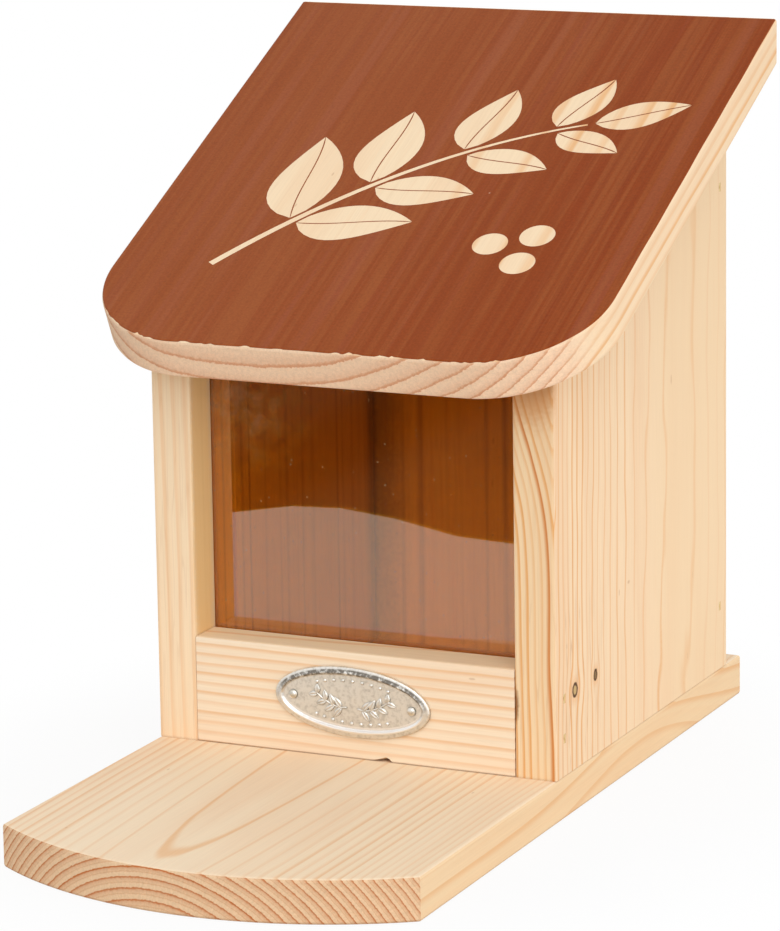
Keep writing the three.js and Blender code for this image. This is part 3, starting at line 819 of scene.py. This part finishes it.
def sprig(stem, stem_width, leaf_length, leaf_width, pairs):
    """A stem with pairs of leaves that get smaller towards its tip, and one leaf at its end."""
    shapes = [tapered_stem(stem, stem_width, stem_width * 0.35)]
    steps = len(stem) - 1
    for index in range(pairs):
        share = 0.2 + 0.7 * index / (pairs - 1)
        step = round(share * steps)
        turn = heading_angle(stem, step)
        for side in (-1, 1):
            size = (1 - 0.45 * share) * (1 if side > 0 else 0.84)
            base = stem[step] + left_of(heading(stem, step)) * (side * stem_width * 0.8)
            shapes += leaf(base, turn + side * roof_leaf_spread, leaf_length * size,
                           leaf_width * size, curl=-0.14 * side)
    way = heading(stem, steps)
    shapes += leaf(stem[-1] + way * stem_width, heading_angle(stem, steps), leaf_length * 0.62,
                   leaf_width * 0.58, curl=0.05)
    return shapes


# Paint film: a thin skin over the top of the roof, with a sprig left bare

def roof_inset(x, y):
    """Distance from the outline of the roof's upper face, inwards."""
    side = roof_width / 2 - abs(x)
    front = y - roof_top_front
    if side < roof_corner_radius and front < roof_corner_radius:
        reach = math.hypot(roof_corner_radius - side, roof_corner_radius - front)
        return roof_corner_radius - reach
    return min(side, front, roof_top_rear - y + arris_radius)


def roof_outline(inset):
    """Outline of the upper face, counter-clockwise from its rear right corner."""
    half = roof_width / 2 - inset
    radius = roof_corner_radius - inset
    rear = roof_top_rear - film_rear_inset
    front = roof_top_front + inset
    ring = [(half, rear), (-half, rear)]
    for middle, start in ((-1, math.pi), (1, 1.5 * math.pi)):
        x, y = middle * (half - radius), front + radius
        steps = round(radius * math.pi / 2 / film_edge_step)
        turns = [start + math.pi / 2 * step / steps for step in range(steps + 1)]
        ring += [(x + radius * math.cos(turn), y + radius * math.sin(turn)) for turn in turns]
    points = []
    for (ax, ay), (bx, by) in zip(ring, ring[1:] + ring[:1]):
        steps = max(1, round(math.hypot(bx - ax, by - ay) / film_edge_step))
        points += [(ax + (bx - ax) * k / steps, ay + (by - ay) * k / steps) for k in range(steps)]
    return points


def worn_outline():
    """The film's own edge: a little uneven, with flakes gone along the rounded front."""
    dice = random.Random(7)
    wave = [dice.uniform(0, 2 * math.pi) for _ in range(6)]
    chips = [(dice.uniform(-0.07, 0.07), dice.uniform(0.5, 1.6) * mm, dice.uniform(0.3, 1))
             for _ in range(film_chips)]
    half = roof_width / 2
    straight = half - roof_corner_radius
    front_end = roof_top_front + roof_corner_radius
    points = []
    for x, y in roof_outline(0):
        run = x / (6 * mm) + y / (9 * mm)
        inset = film_inset + film_edge_wander * (0.5 + 0.25 * math.sin(run + wave[0])
                                                + 0.25 * math.sin(2.3 * run + wave[1]))
        if y < front_end:
            for middle, reach, share in chips:
                inset += film_chip_depth * share * max(0, 1 - ((x - middle) / reach) ** 2)
        if y <= front_end:
            centre = Vector((max(-straight, min(straight, x)), front_end))
            inward = (centre - Vector((x, y))).normalized()
        elif abs(x) < half - film_inset:
            inward = Vector((0, 0))
        else:
            inward = Vector((-math.copysign(1, x), 0))
        points.append((x + inward.x * inset, y + inward.y * inset))
    return points


def film_height(x, y):
    """Height of the film over the flat of the board, lower where the edge is eased."""
    over = min(max(arris_radius - roof_inset(x, y), 0), arris_radius)
    return math.sqrt(arris_radius ** 2 - over ** 2) - arris_radius


def cut_sheet(outline, inner_loops, holes):
    """Triangles inside the outline and outside the holes, as points and index triples."""
    points, edges = [], []
    for loop in [outline, *inner_loops, *holes]:
        start = len(points)
        points += [Vector(point) for point in loop]
        edges += [(start + k, start + (k + 1) % len(loop)) for k in range(len(loop))]
    verts, _, faces, *_ = delaunay_2d_cdt(points, edges, [], 1, 1e-7)
    kept = []
    for face in faces:
        x, y = (sum(verts[index][axis] for index in face) / 3 for axis in (0, 1))
        if inside(outline, x, y) and not any(inside(hole, x, y) for hole in holes):
            kept.append(tuple(face))
    return verts, kept


def mesh_of(form, name):
    mesh = bpy.data.meshes.new(name)
    form.to_mesh(mesh)
    form.free()
    return mesh


def film_mesh(name, verts, faces):
    """A closed thin solid that follows film_height over the given triangles."""
    form = bmesh.new()
    used = sorted({index for face in faces for index in face})
    upper = {i: form.verts.new((*verts[i], film_height(*verts[i]))) for i in used}
    lower = {i: form.verts.new(upper[i].co - Vector((0, 0, film_thickness))) for i in used}
    borders = {}
    for a, b, c in faces:
        form.faces.new((upper[a], upper[b], upper[c]))
        form.faces.new((lower[c], lower[b], lower[a]))
        for start, end in ((a, b), (b, c), (c, a)):
            if not borders.pop((end, start), None):
                borders[(start, end)] = True
    for start, end in borders:
        form.faces.new((upper[end], upper[start], lower[start], lower[end]))
    form.normal_update()
    return mesh_of(form, name)


def add_object(name, mesh, material, matrix=None):
    if matrix:
        mesh.transform(matrix)
    piece = bpy.data.objects.new(name, mesh)
    bpy.context.scene.collection.objects.link(piece)
    mesh.materials.append(material)
    return piece


def roof_motif():
    """A leafy sprig and three berries, in the board's own frame."""
    stem = curved_stem((-46, -128), (-10, -70), (38, -52), steps=24)
    berries = [disc(x * mm, y * mm, 5 * mm) for x, y in ((31, -111), (42, -119), (43, -106))]
    return sprig(stem, 2.2 * mm, 44 * mm, 22 * mm, 4) + berries


def roof_paint():
    folds = [roof_outline(arris_radius * (1 - math.sin(math.radians(turn))))
             for turn in film_arris_turns]
    verts, faces = cut_sheet(worn_outline(), folds, roof_motif())
    mesh = film_mesh("roof_paint", verts, faces)
    lift = Matrix.Translation((0, 0, plank_thickness + film_thickness - film_sink))
    matrix = Matrix.Translation(roof_rear_edge) @ Matrix.Rotation(roof_slope, 4, "X") @ lift
    film = add_object("roof_paint", mesh, paint("roof_paint", roof_plank), matrix)
    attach(film, "lid")


# Rings of points, joined into skins

def ring_of(form, spots):
    return [form.verts.new(spot) for spot in spots]


def bridge(form, rings):
    """Faces between each ring of points and the next."""
    for before, after in zip(rings, rings[1:]):
        count = len(before)
        for side in range(count):
            turn = (side + 1) % count
            form.faces.new((before[side], before[turn], after[turn], after[side]))


def fan_out(form, tips, rings):
    """Triangles from each of two tips to the ring at its end."""
    for tip, ring in zip(tips, (rings[0], rings[-1])):
        for side in range(len(ring)):
            form.faces.new((tip, ring[side], ring[(side + 1) % len(ring)]))


# Plate: two small sprigs and rows of beads raised from its field

def blade(form, base, angle, length, width, height, steps=12, ribs=8):
    """A domed leaf with a grooved midrib, closed below, drawn on the XY plane."""
    along, aside = (way.to_3d() for way in turned(angle))
    start = base.to_3d()
    sink = Vector((0, 0, plate_sink))
    rows = []
    for step in range(1, steps):
        share = step / steps
        half = leaf_swell(share, width)
        middle = start + along * (length * share)
        row = []
        for rib in range(ribs + 1):
            across = 2 * rib / ribs - 1
            groove = 1 - 0.55 * math.exp(-(across / 0.22) ** 2)
            dome = math.sqrt(max(1 - across ** 2, 0)) * groove * (half / (width / 2)) ** 0.5
            row.append(middle + aside * (half * across) + Vector((0, 0, height * dome)) - sink)
        rows.append(ring_of(form, row))
    tips = ring_of(form, [start + along * (length * share) - sink for share in (0, 1)])
    bridge(form, rows)
    fan_out(form, tips, rows)


def cord_along(form, points, radius, sides=8):
    """A round raised line through points of the XY plane."""
    rings = []
    for index, point in enumerate(points):
        aside = left_of(heading(points, index)).to_3d() * radius
        rings.append(ring_of(form, [
            point.to_3d() + aside * math.cos(turn) + AXIS_Z * (radius * math.sin(turn))
            for turn in circle(sides)]))
    bridge(form, rings)
    form.faces.new(rings[0])
    form.faces.new(rings[-1])


def plate_sprig(form, side):
    stem = curved_stem((side * 1.6, -1.6), (side * 5.5, -2.8), (side * 11.2, 1.7), steps=16)
    cord_along(form, stem, 0.26 * mm)
    for index in range(4):
        step = 3 + index * 4
        for lean in (-1, 1):
            turn = heading_angle(stem, step) + lean * twig_leaf_spread
            blade(form, stem[step], turn, (3.9 - 0.35 * index) * mm, 1.9 * mm, 0.5 * mm)


def bead(form, x, y, sides=12, levels=8):
    """A ball that is a little flattened, with its middle on the XY plane."""
    rings = []
    for level in range(1, levels):
        lean = math.pi * level / levels
        spots = disc(x, y, bead_radius * math.sin(lean), sides)
        rings.append(ring_of(form, [(*spot, bead_height * math.cos(lean)) for spot in spots]))
    bridge(form, rings)
    fan_out(form, ring_of(form, [(x, y, bead_height), (x, y, -bead_height)]), rings)


def plate_beads(form):
    for side in (-1, 1):
        for index in range(-4, 5):
            turn = math.pi / 2 + index * bead_turn
            x = (plate_length / 2 - bead_insets[0]) * math.cos(turn)
            y = side * (plate_height / 2 - bead_insets[1]) * math.sin(turn)
            bead(form, x, y)


def plate_relief():
    """Two leafy twigs and rows of beads, raised from the field of the plate."""
    form = bmesh.new()
    plate_sprig(form, -1)
    plate_sprig(form, 1)
    plate_beads(form)
    bmesh.ops.recalc_face_normals(form, faces=form.faces)
    mesh = mesh_of(form, "plate_relief")
    mesh.shade_smooth()
    spot = plate_centre - AXIS_Y * plate_thickness
    matrix = (Matrix.Translation(spot) @ Matrix.Rotation(plate_turn, 4, "Y")
              @ Matrix.Rotation(math.pi / 2, 4, "X"))
    relief = add_object("plate_relief", mesh, metals["oval_plate"], matrix)
    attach(relief, "box")


# Brads' crushed wood

def fibre_collar(form, name, dice):
    """A ring of crushed wood between the head of the named brad and the board's surface."""
    low, high = (Vector(corner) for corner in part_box(name))
    outward = AXIS_X * (-1 if name.startswith("left") else 1)
    if "base_brad" in name:
        outward = -AXIS_Z
    sides = [axis for axis in (AXIS_X, AXIS_Y, AXIS_Z) if not axis.dot(outward)]
    halves = [(high - low).dot(axis) / 2 for axis in sides]
    middle = (low + high) / 2
    middle += outward * (abs((high - middle).dot(outward)) + brad_sink)
    rings = []
    for share, reach, depth in fibre_profile:
        ring = []
        for turn in circle(fibre_steps):
            uneven = 1 if reach else dice.uniform(0.8, 1.15)
            spot = middle - outward * depth
            for axis, half, part in zip(sides, halves, (math.cos(turn), math.sin(turn))):
                corner = math.copysign(abs(part) ** 0.45, part)
                spot = spot + axis * ((half * share * uneven + reach) * corner)
            ring.append(spot)
        rings.append(ring_of(form, ring))
    bridge(form, rings + rings[:1])


def brad_fibres():
    form = bmesh.new()
    dice = random.Random(19)
    for name in sorted(nodes):
        if "_brad_" in name:
            fibre_collar(form, name, dice)
    bmesh.ops.recalc_face_normals(form, faces=form.faces)
    mesh = mesh_of(form, "brad_fibres")
    fibres = add_object("brad_fibres", mesh, crushed_pine("crushed_pine"))
    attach(fibres, "box")


# Materials of the pieces

# The first part of a node's name that fits says which metal it is
metals = {
    "plate_pin": metal("bright_steel", (0.82, 0.79, 0.72, 1), (0.6, 0.56, 0.48, 1), 0.18,
                       dirt_and_shade_strength=0.9),
    "_screw_": metal("screw_steel", (0.68, 0.66, 0.6, 1), (0.55, 0.52, 0.46, 1), 0.28),
    "hinge": metal("hinge_steel", (0.62, 0.60, 0.56, 1), (0.50, 0.48, 0.45, 1), 0.32,
                   (200, 900, 900)),
    "brad": metal("brad_steel", (0.9, 0.74, 0.48, 1), (0.8, 0.62, 0.38, 1), 0.5,
                  (700, 700, 700), metallic=0.0),
    "oval_plate": metal("plate_metal", (0.84, 0.82, 0.77, 1), (0.64, 0.62, 0.57, 1), 0.25,
                        (900, 900, 300), dirt_and_shade_strength=0.9, banded=True),
}
boards = {
    "base_board": base_plank, "left_side_wall": left_wall_plank,
    "right_side_wall": right_wall_plank, "back_wall": back_wall_plank,
    "front_rail": rail_plank, "roof_board": roof_plank,
}


def dress(name, material):
    for slot in nodes[name].material_slots:
        slot.link = "OBJECT"
        slot.material = material


for board_name, board_plank in boards.items():
    dress(board_name, pine(board_name + "_pine", board_plank))
dress("window_pane", acrylic("acrylic"))
for node_name in nodes:
    for part, node_metal in metals.items():
        if part in node_name:
            dress(node_name, node_metal)
            break
roof_paint()
plate_relief()
brad_fibres()


# Studio

table_grey = (0.82, 0.82, 0.82, 1)
white = (1, 1, 1, 1)
# Colours of the dark sheet, hidden from the camera, that stands in for the room's shade in the
# pane's reflection
dark_brown = (0.05, 0.028, 0.01, 1)
dark_olive = (0.095, 0.08, 0.045, 1)
dark_middle = -0.9
dark_height = -0.35
world_light = 0.7

# Front edge of the table from left to right, as the pane's reflection shows it, then its rear
table_outline = [
    (-0.30, -0.20), (-0.22, -0.262), (-0.187, -0.294), (-0.173, -0.309), (-0.155, -0.312),
    (-0.13, -0.304), (-0.10, -0.288), (-0.08, -0.285), (0.90, -0.283), (0.90, 0.60), (-0.30, 0.60),
]
dark_outline = [(-4, -4), (4, -4), (4, 4), (-4, 4)]

# Name, place, point looked at, width, height and power of each lamp
lamps = (
    ("key", (0.8, -1.3, 1.4), (0, 0, 0.09), 1.8, 1.8, 14.5),
    ("front", (0.3, -1.7, 0.6), (0, 0, 0.09), 1.0, 0.5, 3),
    ("side", (1.6, 0.1, 0.2), (0, 0.03, 0.12), 1.0, 0.5, 5.2),
)


def floor_material():
    """Pale table that looks almost white, and plain white away from the feeder's shadow."""
    material, graph = new_material("studio_floor")
    far = graph.length(graph.vector("MULTIPLY", graph.point(), (1.25, 1, 0)))
    share = graph.add(graph.smooth(far, 0.1, 0.2, 0.1), 0.9)
    camera_ray = graph.node("LightPath").outputs["Is Camera Ray"]
    table = graph.node("BsdfDiffuse", {"Color": table_grey})
    glow = graph.node("Emission", {"Color": white, "Strength": 1.0})
    graph.surface(graph.node("MixShader", {
        0: graph.times(share, camera_ray), 1: table.outputs[0], 2: glow.outputs[0],
    }))
    return material


def dark_material():
    """Painted shade of a dim room, a little paler at its sides, that the pane mirrors above the
    table's edge.
    """
    material, graph = new_material("studio_dark")
    aside = graph.away_from(graph.separate(graph.point())[0], dark_middle)
    colour = graph.mix(graph.smooth(aside, 0.02, 0.1), dark_brown, dark_olive)
    graph.principled({"Base Color": colour, "Roughness": 1.0, "Specular IOR Level": 0.0})
    return material


def sheet(name, corners, height, material):
    mesh = bpy.data.meshes.new(name)
    points = [(x, y, height) for x, y in corners]
    mesh.from_pydata(points, [], [list(range(len(points)))])
    card = add_object(name, mesh, material)
    return card


def world():
    """Even white light. What the camera sees of it, also in a mirror or a pane, is plain white."""
    scene_world = bpy.data.worlds.new("studio")
    bpy.context.scene.world = scene_world
    scene_world.use_nodes = True
    graph = Graph(scene_world.node_tree)
    rays = graph.node("LightPath").outputs
    seen = graph.math("MAXIMUM", rays["Is Glossy Ray"], rays["Is Transmission Ray"])
    seen = graph.math("MAXIMUM", rays["Is Camera Ray"], seen)
    strength = graph.blend(seen, world_light, 1.0)
    back = graph.node("Background", {"Color": white, "Strength": strength})
    graph.node("OutputWorld", {"Surface": back.outputs[0]})


def softbox(name, spot, target, width, height, power):
    lamp = bpy.data.lights.new(name, "AREA")
    lamp.shape = "RECTANGLE"
    lamp.size = width
    lamp.size_y = height
    lamp.energy = power
    holder = bpy.data.objects.new(name, lamp)
    holder.location = spot
    way = Vector(target) - Vector(spot)
    holder.rotation_euler = way.to_track_quat("-Z", "Y").to_euler()
    bpy.context.scene.collection.objects.link(holder)


def camera():
    data = bpy.data.cameras.new("camera")
    data.sensor_width = sensor_size
    data.lens = focal_pixels * sensor_size / image_height
    data.shift_x = (image_width / 2 - centre_x_pixels) / image_height
    data.shift_y = (centre_y_pixels - image_height / 2) / image_height
    data.clip_start = 0.05
    data.clip_end = 20
    back = Vector((math.sin(camera_azimuth) * math.cos(camera_elevation),
                   -math.cos(camera_azimuth) * math.cos(camera_elevation),
                   math.sin(camera_elevation)))
    right = (-back).cross(AXIS_Z).normalized()
    upward = right.cross(-back)
    turned_right = right * math.cos(camera_roll) + upward * math.sin(camera_roll)
    turned_up = upward * math.cos(camera_roll) - right * math.sin(camera_roll)
    holder = bpy.data.objects.new("camera", data)
    bpy.context.scene.collection.objects.link(holder)
    axes = Matrix((turned_right, turned_up, back)).transposed().to_4x4()
    holder.matrix_world = Matrix.Translation(camera_spot) @ axes
    bpy.context.scene.camera = holder


sheet("studio_floor", table_outline, 0.0, floor_material())
sheet("studio_dark", dark_outline, dark_height, dark_material()).visible_camera = False
world()
for lamp_values in lamps:
    softbox(*lamp_values)
camera()
bpy.context.scene.view_settings.view_transform = "Standard"
